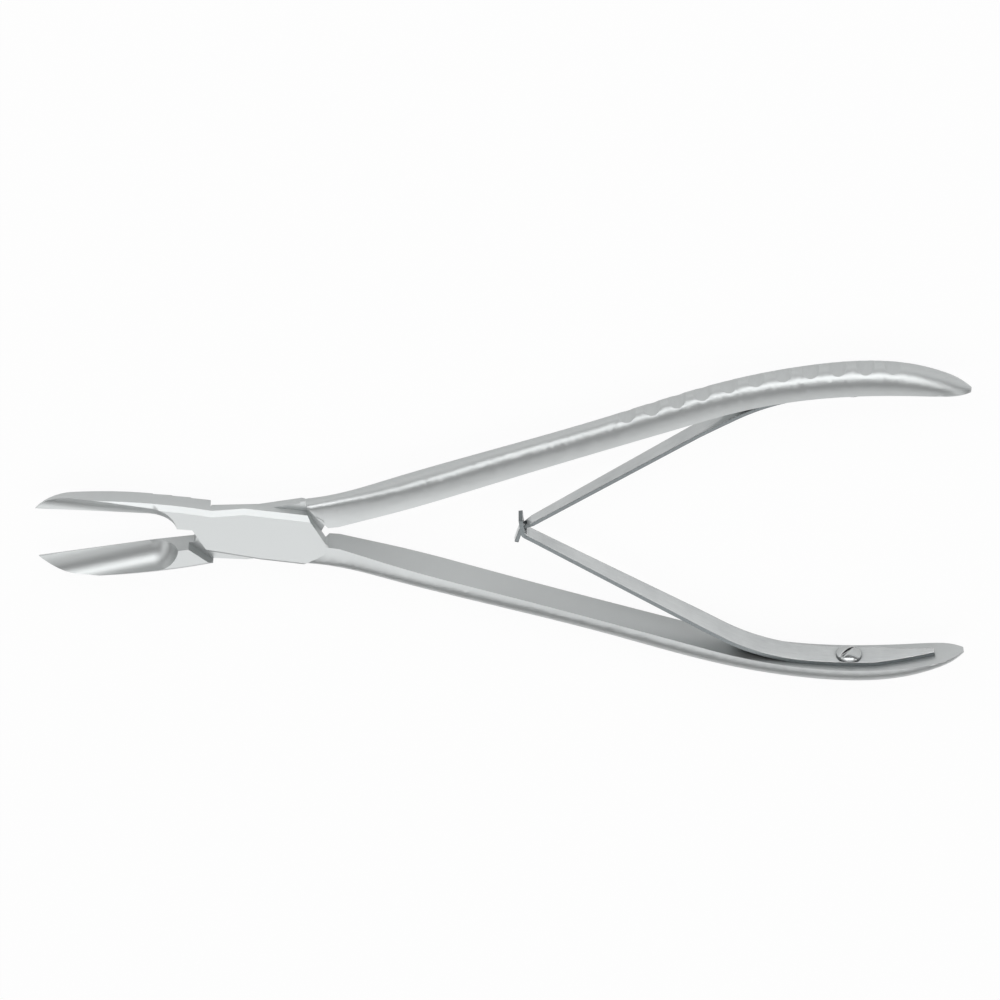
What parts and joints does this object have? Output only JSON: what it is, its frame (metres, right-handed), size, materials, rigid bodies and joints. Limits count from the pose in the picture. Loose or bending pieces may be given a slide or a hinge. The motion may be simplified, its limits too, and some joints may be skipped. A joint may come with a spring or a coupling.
{
  "type": "bone cutting forceps",
  "caption": "Hand-held bone cutting forceps: two lapped steel halves on one pivot, hollow-ground cutting jaws, bowed handles and two leaf springs that open them.",
  "frame": {"origin": "where the pivot's axis meets the flat cheek on the underside of the lap joint", "axes": "+X along the mid-line from the jaws to the handles, +Y to the side of the front half's jaw, +Z along the pivot, out of the front cheek"},
  "size_m": [0.1891, 0.0793, 0.0087],
  "materials": {
    "satin_steel": "satin stainless steel",
    "spring_steel": "rolled stainless spring steel",
    "screw_steel": "turned stainless steel"
  },
  "bodies": {
    "front_half": {"front_half": "satin_steel", "pivot_screw": "screw_steel", "lower_spring_foot": "spring_steel", "lower_spring_screw": "screw_steel"},
    "rear_half": {"rear_half": "satin_steel", "upper_spring_foot": "spring_steel", "upper_spring_screw": "screw_steel"},
    "lower_leaf": {"lower_spring_arm": "spring_steel"},
    "upper_leaf": {"upper_spring_arm": "spring_steel"}
  },
  "joints": [
    {"name": "jaw_pivot", "type": "hinge", "parent": "front_half", "child": "rear_half", "pos_m": [0, 0, 0.00245], "axis": [0, 0, 1], "range_deg": [-15.4, 3], "stiffness_Nm_per_rad": 2},
    {"name": "lower_spring_flex", "type": "hinge", "parent": "front_half", "child": "lower_leaf", "pos_m": [0.09675, -0.02809, 0.00245], "axis": [0, 0, 1], "range_deg": [-2, 9.2]},
    {"name": "upper_spring_flex", "type": "hinge", "parent": "rear_half", "child": "upper_leaf", "pos_m": [0.09675, 0.02809, 0.00245], "axis": [0, 0, 1], "range_deg": [-9.2, 2]}
  ],
  "couplings": [
    {"joint": "lower_spring_flex", "follows": "jaw_pivot", "ratio": -0.578},
    {"joint": "upper_spring_flex", "follows": "jaw_pivot", "ratio": 0.578}
  ]
}
